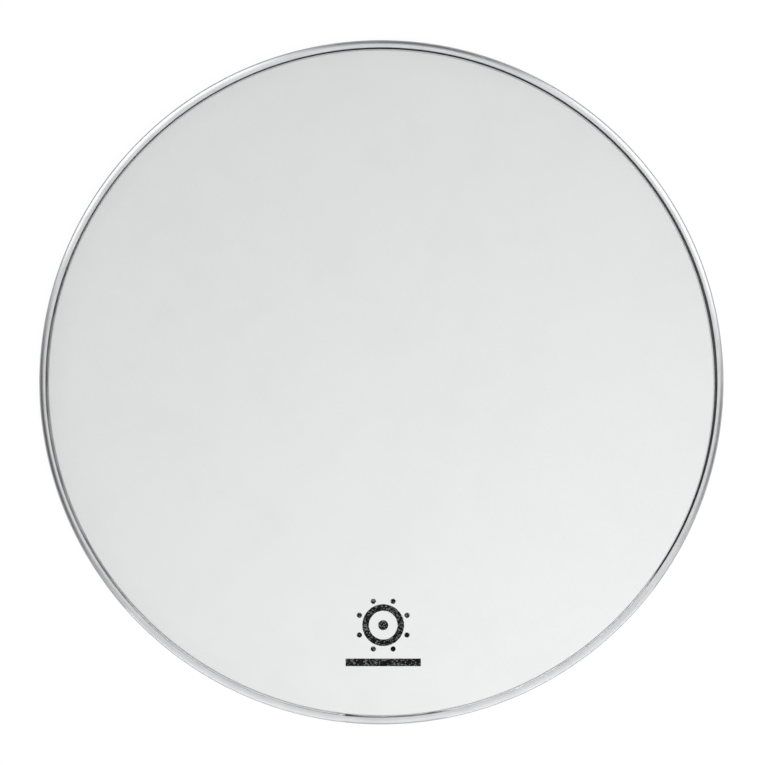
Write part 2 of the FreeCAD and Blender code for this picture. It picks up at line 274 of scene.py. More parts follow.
def aluminium_material(colours):
    """Roll-formed aluminium: fine lines drawn lengthwise, soft scuffs and a faint grey film."""
    material, r = new_material("rolled_aluminium")
    tint = tuple(colours.aluminium)
    along, across, _ = r.parts(r.node("ShaderNodeUVMap", {"uv_map": HOOP_WRAP}))
    lines = r.noise(r.joined(along * 9, across * 2600, 0.0), 1.0, 3.0, 0.6)
    fine_lines = r.noise(r.joined(along * 40, across * 9000, 4.0), 1.0, 2.0, 0.5)
    clouds = r.noise(r.place(), 38.0, 3.0, 0.6)
    streaks = r.noise(r.joined(along * 55, across * 420, 9.0), 1.0, 4.0, 0.65)
    scuffs = r.between(streaks, 0.60, 0.72)
    shade = r.mix(r.between(clouds, 0.35, 0.70), tint, darker(tint, 0.10))
    shade = r.mix(lines * 0.30, shade, darker(tint, 0.32))
    roughness = 0.25 + lines * 0.10 + scuffs * 0.16 + clouds * 0.05
    relief = r.bump(lines + fine_lines * 0.5, 0.012 * MM, 0.55)
    relief = r.bump(scuffs, -0.01 * MM, 0.5, relief)
    r.finish(Base_Color=shade, Metallic=1.0, Roughness=roughness, Normal=relief)
    return material


# Faint marks of handling on the coating: across, up, radius and depth.
SMUDGES = (
    (-178.5 * MM, 58.6 * MM, 15 * MM, 0.018),
    (62.0 * MM, -24.0 * MM, 22 * MM, 0.007),
    (-96.0 * MM, -118.0 * MM, 34 * MM, 0.006),
)
BLOTCH_DEPTH = 0.02
# Painted shade towards the rim, where the hoop keeps light from under the film: how much darker it gets, and
# from how far inside the crown's edge.
RIM_SHADE_DEPTH, RIM_SHADE_WIDTH = 0.015, 6 * MM
# Stray dark specks: how far apart, how wide and how dark.
SPECK_SPACING, SPECK_RADIUS, SPECK_DEPTH = 48 * MM, 0.30 * MM, 0.45
GRAIN_SPACING = 1.2 * MM


def coating_colour(r, s, colours):
    """Colour of the sprayed coat, with its place and its fine grain, which its other sockets use as well."""
    place = r.place()
    x, y, _ = r.parts(place)
    from_axis = r.math("SQRT", x * x + y * y)
    fine = r.noise(place, 1300.0, 2.0, 0.7)
    blotches = r.noise(place, 26.0, 4.0, 0.6)
    shade = r.mix(r.between(fine, 0.25, 0.75) * colours.grain, tuple(colours.coating), BLACK)
    shade = r.mix(r.between(blotches, 0.35, 0.75) * BLOTCH_DEPTH, shade, BLACK)
    # Painted shade: the coat is darkened towards its rim.
    shade = r.mix(r.between(from_axis, s.crown_radius - RIM_SHADE_WIDTH, s.collar_radius) * RIM_SHADE_DEPTH, shade, BLACK)
    for across, up, radius, depth in SMUDGES:
        away = r.math("SQRT", (x - across) * (x - across) + (y - up) * (y - up))
        shade = r.mix((1 - r.between(away, 0.0, radius)) * depth, shade, BLACK)
    near, chosen = r.cells(r.joined(x, y, 0.0), 1 / SPECK_SPACING)
    speck_size = SPECK_RADIUS / SPECK_SPACING
    specks = 1 - r.between(near, speck_size, speck_size * 2.2)
    shade = r.mix(specks * r.between(chosen, 0.70, 0.95) * SPECK_DEPTH, shade, BLACK)
    return shade, place, fine


def coating_material(s, colours):
    """White sprayed coat: matt, with a sandy grain."""
    material, r = new_material("sprayed_coating")
    shade, place, fine = coating_colour(r, s, colours)
    grains = r.noise(place, 900.0, 3.0, 0.75)
    relief = r.bump(grains + fine * 0.5, 0.07 * MM, 0.35)
    r.finish(Base_Color=shade, Roughness=0.62 + grains * 0.2, Specular_IOR_Level=0.3, Normal=relief)
    return material


def film_material(s, colours):
    """Hazy polyester: pale where the white coat backs it, and dark where it is clear, below the coat."""
    material, r = new_material("polyester_film")
    tint = tuple(colours.film)
    haze = r.noise(r.place(), 18.0, 4.0, 0.6)
    shade = r.mix(r.between(haze, 0.3, 0.7) * 0.06, tint, WHITE)
    _, _, height = r.parts(r.place())
    backed = r.between(height, s.coat_foot - 0.5 * MM, s.coat_foot)
    shade = r.mix(backed, darker(tint, 0.68), shade)
    r.finish(Base_Color=shade, Roughness=0.16 + haze * 0.1, Coat_Weight=0.3, Coat_Roughness=0.08)
    return material


# Heights between which the risen resin goes over into its painted pale, painted light where light reaches
# into the top of the crevice.
PALE_LIGHT_LOW, PALE_LIGHT_HIGH = 7.0 * MM, 8.2 * MM


def resin_material(name, tint, depth, pale_light=None):
    """Cast resin: an uneven, slightly cloudy surface, painted pale where it has risen, as painted light in
    the crevice's upper part.
    """
    material, r = new_material(name)
    clouds = r.noise(r.place(), 240.0, 3.0, 0.6)
    pits = r.between(r.noise(r.place(), 1500.0, 1.0), 0.62, 0.74)
    shade = r.mix(r.between(clouds, 0.3, 0.7) * depth, tint, darker(tint, 0.7))
    if pale_light:
        _, _, height = r.parts(r.place())
        # Painted light: the resin turns pale with height, towards the lit top of the crevice.
        shade = r.mix(r.between(height, PALE_LIGHT_LOW, PALE_LIGHT_HIGH), shade, pale_light)
    relief = r.bump(clouds - pits * 0.4, 0.2 * MM, 0.6)
    r.finish(Base_Color=shade, Roughness=0.34 + clouds * 0.2, Normal=relief)
    return material


def ink_material(s, colours):
    """Black screen print, speckled where the tops of the coating's grains show through."""
    material, r = new_material("screen_print_ink")
    coat, place, _ = coating_colour(r, s, colours)
    near, chosen = r.cells(place, 1 / GRAIN_SPACING)
    thin = r.noise(place, 120.0, 2.0, 0.6)
    grain_tops = (1 - r.between(near, 0.28, 0.66)) * r.between(chosen + (thin - 0.5) * 0.5, 0.25, 0.80)
    shade = r.mix(grain_tops * 0.23, tuple(colours.ink), coat)
    relief = r.bump(grain_tops, 0.06 * MM, 0.5)
    r.finish(Base_Color=shade, Roughness=0.48 + grain_tops * 0.2, Specular_IOR_Level=0.05, Normal=relief)
    return material


def key_material(colours):
    """Plain mill-finish aluminium for the bar inside the channel."""
    material, r = new_material("mill_aluminium")
    tint = tuple(colours.key)
    grain = r.noise(r.place(), 600.0, 3.0, 0.6)
    shade = r.mix(grain * 0.4, tint, darker(tint, 0.3))
    relief = r.bump(grain, 0.02 * MM, 0.4)
    r.finish(Base_Color=shade, Metallic=1.0, Roughness=0.38 + grain * 0.14, Normal=relief)
    return material


# ---------------------------------------------------------------- outlines


def rounded(corners, steps=6):
    """An outline through corners, each across, up and an optional radius that rounds it with an arc."""
    places = [np.array(corner[:2], float) for corner in corners]
    outline = []
    for index, corner in enumerate(corners):
        here, radius = places[index], corner[2] if len(corner) > 2 else 0.0
        if radius == 0.0:
            outline.append(here)
            continue
        back = places[index - 1] - here
        forth = places[(index + 1) % len(places)] - here
        back, forth = back / np.linalg.norm(back), forth / np.linalg.norm(forth)
        half = math.acos(np.clip(back @ forth, -1, 1)) / 2
        middle = (back + forth) / np.linalg.norm(back + forth)
        centre = here + middle * radius / math.sin(half)
        first = here + back * radius / math.tan(half) - centre
        last = here + forth * radius / math.tan(half) - centre
        swing = math.pi - 2 * half
        for step in range(steps + 1):
            share_done = step / steps
            one, other = math.sin((1 - share_done) * swing), math.sin(share_done * swing)
            outline.append(centre + (first * one + last * other) / math.sin(swing))
    return np.array(outline)


def spaced(start, end, gap):
    """Numbers from start up to, but without, end, about a gap apart."""
    count = max(1, round(abs(end - start) / gap))
    return [start + (end - start) * step / count for step in range(count)]


FILM_CLEARANCE = 0.2 * MM
COLLAR_FOOT_BEND = 6.0 * MM
# The film's turned-out edge, held in the resin.
EDGE_HEIGHT, EDGE_RADIUS, EDGE_BEND = 1.8 * MM, 283.6 * MM, 1.0 * MM
# Gaps between the rings of points on the flat middle and on the falling crown.
MIDDLE_GAP, CROWN_GAP = 9 * MM, 2.4 * MM


def film_foot(s):
    """Radii of the film's inner and outer faces where it stands in the channel."""
    inside = s.shell_radius + s.hoop_wall + FILM_CLEARANCE
    return inside, inside + s.film_thickness


def collar_line(s, height):
    """Radius of the collar's outer face, between its two bends, at a height."""
    foot = film_foot(s)[1]
    share_down = (s.collar_height - height) / (s.collar_height - s.lean_height)
    return s.collar_radius + (foot - s.collar_radius) * share_down


def crown_height(s, radius):
    """Height of the film's top face on the playing surface."""
    past = max(0.0, radius - s.crown_radius) / (s.collar_radius - s.crown_radius)
    return s.head_height - (s.head_height - s.collar_height) * past**2


def playing_rings(s):
    """Radii of the playing surface's rings of points, from its middle to just before the collar's bend."""
    last = s.collar_radius - s.collar_bend
    return spaced(MIDDLE_GAP, s.crown_radius, MIDDLE_GAP) + spaced(s.crown_radius, last, CROWN_GAP)


# ---------------------------------------------------------------- the shape of a real film


# Waves round the head: how many there are, their size and where they start.
RIPPLES = ((17, 0.9, 0.4), (29, 0.7, 2.1), (43, 0.5, 4.0))
BOWS = ((2, 0.16 * MM, 0.8), (3, 0.10 * MM, 2.6))
PUCKERS = ((96, 0.5, 0.0), (131, 0.5, 1.3))
PUCKER_HEIGHT = 0.035 * MM
# Share of the crown's radius from which ripples show.
RIPPLE_START = 0.72
# The film was potted a little off centre: how far, and towards which bearing.
DRIFT, DRIFT_BEARING = 0.55 * MM, math.radians(222)


def waves(table, angle):
    """Sum of the waves of a table at an angle round the head."""
    return sum(size * np.cos(count * angle + start) for count, size, start in table)


def film_rise(s, across, up):
    """How far the unstretched film stands above or below its true shape on the playing surface."""
    radius, angle = np.hypot(across, up), np.arctan2(up, across)
    near_rim = np.clip((radius / s.crown_radius - RIPPLE_START) / (1 - RIPPLE_START), 0, 1) ** 2
    inside_collar = np.clip((s.collar_radius - radius) / (s.collar_radius - s.crown_radius), 0, 1)
    outwards = np.clip(radius / s.crown_radius, 0, 1) ** 2
    return (s.ripple * waves(RIPPLES, angle) * near_rim + waves(BOWS, angle) * outwards) * inside_collar


def collar_share(s, height):
    """How far up the collar a height is, from 0 to 1."""
    return np.clip((height - s.lean_height) / (s.collar_height - s.lean_height), 0, 1)


def collar_pucker(s, angle, height):
    """How far the collar's fine upright puckers stand out, which fade towards both its ends."""
    return PUCKER_HEIGHT * waves(PUCKERS, angle) * np.sin(np.pi * collar_share(s, height))


def film_shape(s):
    """Moves lathe points onto the real film: radius, height and angle in, radius and height out."""

    def shape(radius, height, angle):
        lift = film_rise(s, radius * np.cos(angle), radius * np.sin(angle))
        on_top = np.clip((height - s.collar_height) / (s.head_height - s.collar_height), 0, 1)
        on_collar = height < s.collar_height
        from_middle = np.clip(radius / s.crown_radius, 0, 1)
        aside = DRIFT * np.cos(angle - DRIFT_BEARING) * collar_share(s, height) * from_middle
        return radius + aside + collar_pucker(s, angle, height) * on_collar, height + lift * on_top

    return shape


# ---------------------------------------------------------------- mesh making


SMOOTH_ANGLE = math.radians(40)
HEAD_STEPS, HOOP_STEPS = 480, 720


def add_object(name, points, faces, material):
    """A smooth-shaded mesh object in the scene, sharp where faces meet at more than the smooth angle."""
    mesh = bpy.data.meshes.new(name)
    mesh.from_pydata([tuple(point) for point in points], [], faces)
    mesh.validate()
    mesh.update()
    mesh.polygons.foreach_set("use_smooth", [True] * len(mesh.polygons))
    mesh.set_sharp_from_angle(angle=SMOOTH_ANGLE)
    mesh.materials.append(material)
    piece = bpy.data.objects.new(name, mesh)
    bpy.context.scene.collection.objects.link(piece)
    return piece


def ring_points(outline, angles, shape):
    """Points of a turned outline, angle by angle."""
    radius, height = outline[:, 0][None, :], outline[:, 1][None, :]
    angle = np.array(angles)[:, None]
    radius, height = shape(radius + angle * 0, height + angle * 0, angle)
    grid = np.stack([radius * np.cos(angle), radius * np.sin(angle), height], axis=-1)
    return grid.reshape(-1, 3)


# Where the resin stands higher in the crevice: bearing and half-width in degrees, and rise.
POOLS = ((243, 24.5, 4.3 * MM), (302, 24, 4.3 * MM), (272, 9, 3.1 * MM), (180, 46, 2.9 * MM))
RESIN_SAG = -1.9 * MM
# Degrees over which a pool's end slopes down, and how far before the joint the pool beside it stops short.
POOL_SLOPE, DAM_ASIDE = 8, 0.3
# Waves of the lip's edge in and out: how many round the hoop, height and bearing in degrees.
LIP_WAVES = ((1, 0.20 * MM, 285), (2, 0.48 * MM, 12), (4, 0.30 * MM, 2))
# Angle past the joint over which the step between the hoop's ends evens out.
STEP_FADE = 0.05


def degrees_from(bearing, angle):
    """Signed degrees from a bearing to an angle, the shorter way round."""
    return np.degrees(np.mod(angle - bearing + math.pi, FULL_TURN) - math.pi)


def resin_rise(s, angle):
    """How far the resin stands above its even level in the crevice beside the film."""
    rise = RESIN_SAG
    for bearing, half_width, height in POOLS:
        away = np.abs(degrees_from(math.radians(bearing), angle))
        pool = height * np.clip((half_width + POOL_SLOPE / 2 - away) / POOL_SLOPE, 0, 1)
        if 0 < math.degrees(s.seam_angle) - bearing < half_width:
            pool = pool * (degrees_from(s.seam_angle, angle) + DAM_ASIDE < 0)
        rise = np.maximum(rise, RESIN_SAG + pool)
    return rise


def lip_wander(s, angle):
    """How far the lip's edge stands outside its true circle, with a small step at the joint."""
    wander = sum(size * np.cos(count * (angle - math.radians(bearing))) for count, size, bearing in LIP_WAVES)
    past = np.mod(angle - s.seam_angle, FULL_TURN)
    return wander + s.seam_step * np.exp(-((past / STEP_FADE) ** 2))


def lathe(name, outline, material, shape, start=0.0, sweep=FULL_TURN, steps=HEAD_STEPS, wrap=None):
    """A closed outline turned about Z. A sweep short of a full turn gets a cap at each end.

    The outline runs clockwise, seen with its radius across and its height up, so its faces look outwards.
    """
    closed = abs(sweep - FULL_TURN) < 1e-9
    rows, count = steps if closed else steps + 1, len(outline)
    angles = [start + sweep * row / steps for row in range(rows)]
    points = ring_points(outline, angles, shape)
    faces = []
    for row in range(steps):
        here, after = row * count, (row + 1) % rows * count
        for column in range(count):
            beside = (column + 1) % count
            faces.append((here + column, here + beside, after + beside, after + column))
    if not closed:
        faces.append(tuple(reversed(range(count))))
        faces.append(tuple(range((rows - 1) * count, rows * count)))
    piece = add_object(name, points, faces, material)
    if wrap:
        add_wrap(piece.data, wrap, outline, steps)
    return piece


def add_wrap(mesh, name, outline, steps):
    """UVs in metres: the way round the hoop across, and the way round its section up."""
    loop = np.vstack([outline, outline[:1]])
    along_section = np.concatenate([[0.0], np.cumsum(np.linalg.norm(np.diff(loop, axis=0), axis=1))])
    mean_radius = outline[:, 0].mean()
    layer = mesh.uv_layers.new(name=name)
    step_length = FULL_TURN * mean_radius / steps
    count = len(outline)
    for polygon in list(mesh.polygons)[: steps * count]:
        row, column = divmod(polygon.index, count)
        corners = ((row, column), (row, column + 1), (row + 1, column + 1), (row + 1, column))
        for loop_index, (step, place) in zip(polygon.loop_indices, corners):
            layer.data[loop_index].uv = (step * step_length, along_section[place])


def disc_sheet(name, top, bottom, material, shape):
    """A round sheet between a top and a bottom outline, each from near the axis out, closed at the axis."""
    outline = np.vstack([top, bottom[::-1]])
    count = len(outline)
    angles = [FULL_TURN * row / HEAD_STEPS for row in range(HEAD_STEPS)]
    points = ring_points(outline, angles, shape)
    middle_heights = [shape(0.0, height, 0.0)[1] for height in (top[0][1], bottom[0][1])]
    points = np.vstack([points, [[0.0, 0.0, height] for height in middle_heights]])
    top_middle, bottom_middle = len(points) - 2, len(points) - 1
    faces = []
    for row in range(HEAD_STEPS):
        here, after = row * count, (row + 1) % HEAD_STEPS * count
        for column in range(count - 1):
            faces.append((here + column, here + column + 1, after + column + 1, after + column))
        faces.append((top_middle, here, after))
        faces.append((bottom_middle, after + count - 1, here + count - 1))
    return add_object(name, points, faces, material)


# ---------------------------------------------------------------- outlines of the pieces


# Bends of the channel's section: its feet beside and away from the shell, its inside corners and cut edges.
SHELL_FOOT_BEND, OUTER_FOOT_BEND, INSIDE_BEND = 1.2 * MM, 1.5 * MM, 0.5 * MM
WALL_EDGE, LIP_UNDER_EDGE, LIP_TOP_EDGE = 0.42 * MM, 0.2 * MM, 0.78 * MM
# The resin's hollow between the film and the hoop: how deep, and in how many steps.
MENISCUS_SINK, MENISCUS_STEPS = 0.35 * MM, 8


def hoop_outline(s):
    """The channel's section, clockwise from its foot beside the shell."""
    inner, outer, wall, top = s.shell_radius, s.hoop_radius, s.hoop_wall, s.hoop_height
    corners = [
        (inner, 0.0, SHELL_FOOT_BEND),
        (inner, s.inner_wall_height, WALL_EDGE),
        (inner + wall, s.inner_wall_height, WALL_EDGE),
        (inner + wall, wall, INSIDE_BEND),
        (outer - wall, wall, INSIDE_BEND),
        (outer - wall, top - wall, s.roll_radius - wall),
        (s.lip_radius, top - wall, LIP_UNDER_EDGE),
        (s.lip_radius, top, LIP_TOP_EDGE),
        (outer, top, s.roll_radius),
        (outer, 0.0, OUTER_FOOT_BEND),
    ]
    return rounded(corners, steps=7)


def film_faces(s):
    """The film's outer and inner faces, each from near the axis out and down to its turned-out edge."""
    thick = s.film_thickness
    inside, outside = film_foot(s)
    over = [(radius, crown_height(s, radius)) for radius in playing_rings(s)]
    under = [(radius, crown_height(s, radius) - thick) for radius in playing_rings(s)]
    over += [(s.collar_radius, s.collar_height, s.collar_bend)]
    over += [(outside, s.lean_height, COLLAR_FOOT_BEND + thick), (outside, EDGE_HEIGHT + thick, EDGE_BEND)]
    over += [(EDGE_RADIUS, EDGE_HEIGHT + thick)]
    under += [(s.collar_radius - thick, s.collar_height - thick, s.collar_bend - thick)]
    under += [(inside, s.lean_height, COLLAR_FOOT_BEND), (inside, EDGE_HEIGHT, EDGE_BEND + thick)]
    under += [(EDGE_RADIUS, EDGE_HEIGHT)]
    return rounded(over), rounded(under)


def coat_faces(s):
    """The coating's outer and inner faces, each from near the axis out to its lower edge on the collar."""
    thick = s.coat_thickness
    foot = collar_line(s, s.coat_foot)
    over = [(radius, crown_height(s, radius) + thick) for radius in playing_rings(s)]
    under = [(radius, crown_height(s, radius)) for radius in playing_rings(s)]
    over += [(s.collar_radius + thick, s.collar_height + thick, s.collar_bend + thick)]
    over += [(foot + thick, s.coat_foot)]
    under += [(s.collar_radius, s.collar_height, s.collar_bend), (foot, s.coat_foot)]
    return rounded(over), rounded(under)


def resin_outline(s):
    """The resin's section, clockwise, with the slot for the film's edge and a meniscus at its top."""
    wall, top, thick = s.hoop_wall, s.resin_height, s.film_thickness
    inner, outer = s.shell_radius + wall, s.hoop_radius - wall
    inside, outside = film_foot(s)
    shares = [step / MENISCUS_STEPS for step in range(MENISCUS_STEPS + 1)]
    meniscus = [
        (outside + (outer - outside) * share_out, top - MENISCUS_SINK * math.sin(math.pi * share_out))
        for share_out in shares
    ]
    corners = [
        (inner, wall, INSIDE_BEND),
        (inner, top),
        (inside, top),
        (inside, EDGE_HEIGHT, EDGE_BEND + thick),
        (EDGE_RADIUS, EDGE_HEIGHT),
        (EDGE_RADIUS, EDGE_HEIGHT + thick),
        (outside, EDGE_HEIGHT + thick, EDGE_BEND),
        *meniscus,
        (outer, wall, INSIDE_BEND),
    ]
    return rounded(corners)


# ---------------------------------------------------------------- operators


def settings():
    """The sizes and the colours that the pieces are made from."""
    return bpy.context.scene.drum_head_sizes, bpy.context.scene.drum_head_colours


def hold(piece, slot, *nodes):
    """Ties a finished piece to the frame's body and hides the nodes that it stands for. Its slot is not used.
    """
    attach(piece, "root")
    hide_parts(*nodes)


JOINT_GAP = math.radians(0.01)
# How far the lip's wander reaches into the hoop's top, and how far above the inner wall the top begins.
LIP_REACH, TOP_START = 1.7 * MM, 0.5 * MM
# Punch marks that pin the key: how many pitches from the joint, their pitch, height, radius and depth.
PUNCH_PLACES, PUNCH_PITCH = (-1.5, -0.5, 0.5, 1.5), math.radians(1.7)
PUNCH_HEIGHT, PUNCH_RADIUS, PUNCH_DEPTH = 4.0 * MM, 1.1 * MM, 0.45 * MM
# Thickness of the skin that counts as the outer wall's face.
FACE_SKIN = 0.1 * MM


def punch_dents(s, height, angle):
    """How far the punches pressed the outer wall in, as a share of their depth."""
    dents = 0.0
    for place in PUNCH_PLACES:
        away = np.radians(degrees_from(s.seam_angle + place * PUNCH_PITCH, angle))
        reach = np.hypot(away * s.hoop_radius, height - PUNCH_HEIGHT)
        dents = dents + np.clip(1 - reach / PUNCH_RADIUS, 0, 1)
    return dents


class DRUMHEAD_OT_hoop(bpy.types.Operator):
    """Rolled aluminium channel with its joint and punch marks"""

    bl_idname = "drum_head.flesh_hoop"
    bl_label = "Flesh Hoop"

    def execute(self, context):
        s, colours = settings()

        def shape(radius, height, angle):
            near_lip = np.clip((s.lip_radius + LIP_REACH - radius) / LIP_REACH, 0, 1)
            wander = lip_wander(s, angle) * near_lip * (height > s.inner_wall_height + TOP_START)
            on_face = radius > s.hoop_radius - FACE_SKIN
            return radius + wander - PUNCH_DEPTH * punch_dents(s, height, angle) * on_face, height

        piece = lathe(
            "flesh_hoop_rolled", hoop_outline(s), aluminium_material(colours), shape,
            start=s.seam_angle + JOINT_GAP / 2, sweep=FULL_TURN - JOINT_GAP, steps=HOOP_STEPS, wrap=HOOP_WRAP,
        )
        hold(piece, "hoop_aluminium", "flesh_hoop")
        return {"FINISHED"}


class DRUMHEAD_OT_film(bpy.types.Operator):
    """Polyester film with its collar and its turned-out edge"""

    bl_idname = "drum_head.film_membrane"
    bl_label = "Film Membrane"

    def execute(self, context):
        s, colours = settings()
        over, under = film_faces(s)
        piece = disc_sheet("film_formed", over, under, film_material(s, colours), film_shape(s))
        hold(piece, "polyester_film", "film_membrane")
        return {"FINISHED"}


class DRUMHEAD_OT_coating(bpy.types.Operator):
    """Sprayed white coat over the playing surface and the collar"""

    bl_idname = "drum_head.white_coating"
    bl_label = "White Coating"

    def execute(self, context):
        s, colours = settings()
        over, under = coat_faces(s)
        piece = disc_sheet("coating_sprayed", over, under, coating_material(s, colours), film_shape(s))
        hold(piece, "white_coating", "white_coating")
        return {"FINISHED"}


RESIN_WAVES = ((23, 0.10 * MM, 0.0), (61, 0.12 * MM, 1.0), (7, 0.10 * MM, 2.0))
# Height under which the resin keeps its plain section.
RESIN_STILL = 5 * MM


class DRUMHEAD_OT_resin(bpy.types.Operator):
    """Resin in the channel, with its uneven surface and its pools in the crevice"""

    bl_idname = "drum_head.potting_resin"
    bl_label = "Potting Resin"

    def execute(self, context):
        s, colours = settings()

        def shape(radius, height, angle):
            at_top = np.clip((height - RESIN_STILL) / (s.resin_height - RESIN_STILL), 0, 1)
            in_crevice = radius > film_foot(s)[0]
            return radius, height + (waves(RESIN_WAVES, angle) + resin_rise(s, angle) * in_crevice) * at_top

        finish = resin_material("cast_resin", tuple(colours.resin), 0.4, tuple(colours.resin_pale_light))
        resin = lathe("resin_cast", resin_outline(s), finish, shape)
        hold(resin, "cast_resin", "potting_resin")
        return {"FINISHED"}


# The dab at the joint: its middle from the joint, its half-length, and how it fills the crevice.
DAB_ASIDE, DAB_HALF_LENGTH = math.radians(-0.8), 2.8 * MM
DAB_COLLAR_HEIGHT, DAB_UNDER_LIP, DAB_SINK, DAB_TOP = 9.6 * MM, 0.5 * MM, 0.2 * MM, 10.12 * MM
# Its points round and along, how lumpy it is, and how wide and tall its ends stay.
DAB_SIDES, DAB_ROWS = 12, 14
DAB_LUMPS, DAB_END_WIDTH, DAB_END_HEIGHT = 0.08, 0.35, 0.2


def dab_points(s):
    """Points of the dab, ring by ring along the crevice."""
    inner, outer = collar_line(s, DAB_COLLAR_HEIGHT), s.lip_radius + DAB_UNDER_LIP
    low, high = s.resin_height - DAB_SINK, DAB_TOP
    points = []
    for row in range(DAB_ROWS + 1):
        along = row / DAB_ROWS * 2 - 1
        bulk = max(0.0, 1 - along**4) ** 0.5
        half_width = (outer - inner) / 2 * (DAB_END_WIDTH + (1 - DAB_END_WIDTH) * bulk)
        half_height = (high - low) / 2 * (DAB_END_HEIGHT + (1 - DAB_END_HEIGHT) * bulk)
        angle = s.seam_angle + DAB_ASIDE + DAB_HALF_LENGTH / s.lip_radius * along
        for side in range(DAB_SIDES):
            round_it = FULL_TURN * side / DAB_SIDES
            lump = 1 + DAB_LUMPS * math.sin(3 * round_it + 5 * along)
            radius = (inner + outer) / 2 + half_width * math.cos(round_it) * lump
            height = (low + high) / 2 + half_height * math.sin(round_it) * lump
            points.append((radius * math.cos(angle), radius * math.sin(angle), height))
    return points


def dab_faces():
    """Faces between the dab's rings, and one at each end."""
    faces = []
    for row in range(DAB_ROWS):
        here, after = row * DAB_SIDES, (row + 1) * DAB_SIDES
        for side in range(DAB_SIDES):
            beside = (side + 1) % DAB_SIDES
            faces.append((here + side, after + side, after + beside, here + beside))
    faces.append(tuple(range(DAB_SIDES)))
    faces.append(tuple(reversed(range(DAB_ROWS * DAB_SIDES, (DAB_ROWS + 1) * DAB_SIDES))))
    return faces


class DRUMHEAD_OT_filler(bpy.types.Operator):
    """Pale dab of resin that fills the crevice at the hoop's joint"""

    bl_idname = "drum_head.seam_filler"
    bl_label = "Seam Filler"

    def execute(self, context):
        s, colours = settings()
        finish = resin_material("filler_resin", tuple(colours.filler), 0.15)
        piece = add_object("seam_filler_dab", dab_points(s), dab_faces(), finish)
        hold(piece, "filler_resin", "seam_filler")
        return {"FINISHED"}


class DRUMHEAD_OT_key(bpy.types.Operator):
    """Finish of the bar that bridges the joint inside the channel"""

    bl_idname = "drum_head.joint_key"
    bl_label = "Joint Key"

    def execute(self, context):
        _, colours = settings()
        bar = frame["nodes"]["joint_key"]
        bar.data.materials.clear()
        bar.data.materials.append(key_material(colours))
        return {"FINISHED"}


# The mark: its ring, its middle dot, its lug dots and their circle, and its bar below them.
RING_OUTER, RING_INNER = 17.5 * MM, 12.0 * MM
MIDDLE_DOT, LUG_DOT, LUG_CIRCLE, LUGS = 4.2 * MM, 2.2 * MM, 21.6 * MM, 8
BAR_DROP, BAR_HALF_LENGTH, BAR_HALF_HEIGHT = 31.2 * MM, 31.5 * MM, 3.2 * MM
# How ragged the ink's edges are, the pinhole in a dot's middle, and points along each outline.
RAGGED, PINHOLE = 0.10 * MM, 0.02 * MM
RING_POINTS, MIDDLE_POINTS, LUG_POINTS, BAR_POINTS = 180, 48, 36, 127


def ink_strip(s, first, second, points, faces, closed=True):
    """Adds a thin strip of ink between two lines of points on the coating."""
    base, count = len(points), len(first)
    for height in (0.0, s.ink_thickness):
        for line in (first, second):
            for across, up in line:
                rise = float(film_rise(s, across, up))
                points.append((across, up, s.head_height + s.coat_thickness + height + rise))
    low_first, low_second, top_first, top_second = (base + count * number for number in range(4))
    for index in range(count if closed else count - 1):
        after = (index + 1) % count
        faces.append((top_first + index, top_first + after, top_second + after, top_second + index))
        faces.append((low_second + index, low_second + after, low_first + after, low_first + index))
        faces.append((low_first + index, low_first + after, top_first + after, top_first + index))
        faces.append((top_second + index, top_second + after, low_second + after, low_second + index))
    if not closed:
        faces.append((low_first, top_first, top_second, low_second))
        last = count - 1
        faces.append((low_second + last, top_second + last, top_first + last, low_first + last))


def ring_line(across, up, radius, count, edge, random):
    """Points round a circle, clockwise, whose edge wanders a little."""
    angles = [-FULL_TURN * index / count for index in range(count)]
    reach = radius + edge * random.uniform(-1, 1, count)
    return [(across + r * math.cos(a), up + r * math.sin(a)) for r, a in zip(reach, angles)]


class DRUMHEAD_OT_mark(bpy.types.Operator):
    """Printed pictogram: a drum seen from the front, over a plain bar"""

    bl_idname = "drum_head.printed_mark"
    bl_label = "Printed Mark"

    def execute(self, context):
        s, colours = settings()
        random = np.random.default_rng(7)
        across, up = s.mark_across, s.mark_up
        points, faces = [], []

        def annulus(x, y, outer, inner, count, inner_edge):
            first = ring_line(x, y, outer, count, RAGGED, random)
            second = ring_line(x, y, inner, count, inner_edge, random)
            ink_strip(s, first, second, points, faces)

        def bar_line(height):
            places = np.linspace(-BAR_HALF_LENGTH, BAR_HALF_LENGTH, BAR_POINTS)
            return [(across + x, height + RAGGED * random.uniform(-1, 1)) for x in places]

        annulus(across, up, RING_OUTER, RING_INNER, RING_POINTS, RAGGED)
        annulus(across, up, MIDDLE_DOT, PINHOLE, MIDDLE_POINTS, 0.0)
        for number in range(LUGS):
            angle = FULL_TURN * (number + 0.5) / LUGS
            x, y = across + LUG_CIRCLE * math.cos(angle), up + LUG_CIRCLE * math.sin(angle)
            annulus(x, y, LUG_DOT, PINHOLE, LUG_POINTS, 0.0)
        bar_up = up - BAR_DROP
        top_line = bar_line(bar_up + BAR_HALF_HEIGHT)
        low_line = bar_line(bar_up - BAR_HALF_HEIGHT)
        ink_strip(s, top_line, low_line, points, faces, closed=False)
        piece = add_object("mark_printed", points, faces, ink_material(s, colours))
        hold(piece, "print_ink", "printed_mark")
        return {"FINISHED"}


# Soft boxes round the horizon: bearing from +X and half-width in degrees, and brightness.
SOFT_BOXES = ((34, 28, 1.50), (134, 28, 1.50), (276, 61, 0.92))
BETWEEN_BOXES = 0.02
# Degrees over which a box's side fades, on either side of its edge.
BOX_FADE = 5
# The light overhead: its brightness, and how far up, as a share of straight up, it begins and is full.
OVERHEAD, OVERHEAD_START, OVERHEAD_FULL = 0.75, 0.93, 0.995
SKY_TINT = (0.985, 0.993, 1.0)
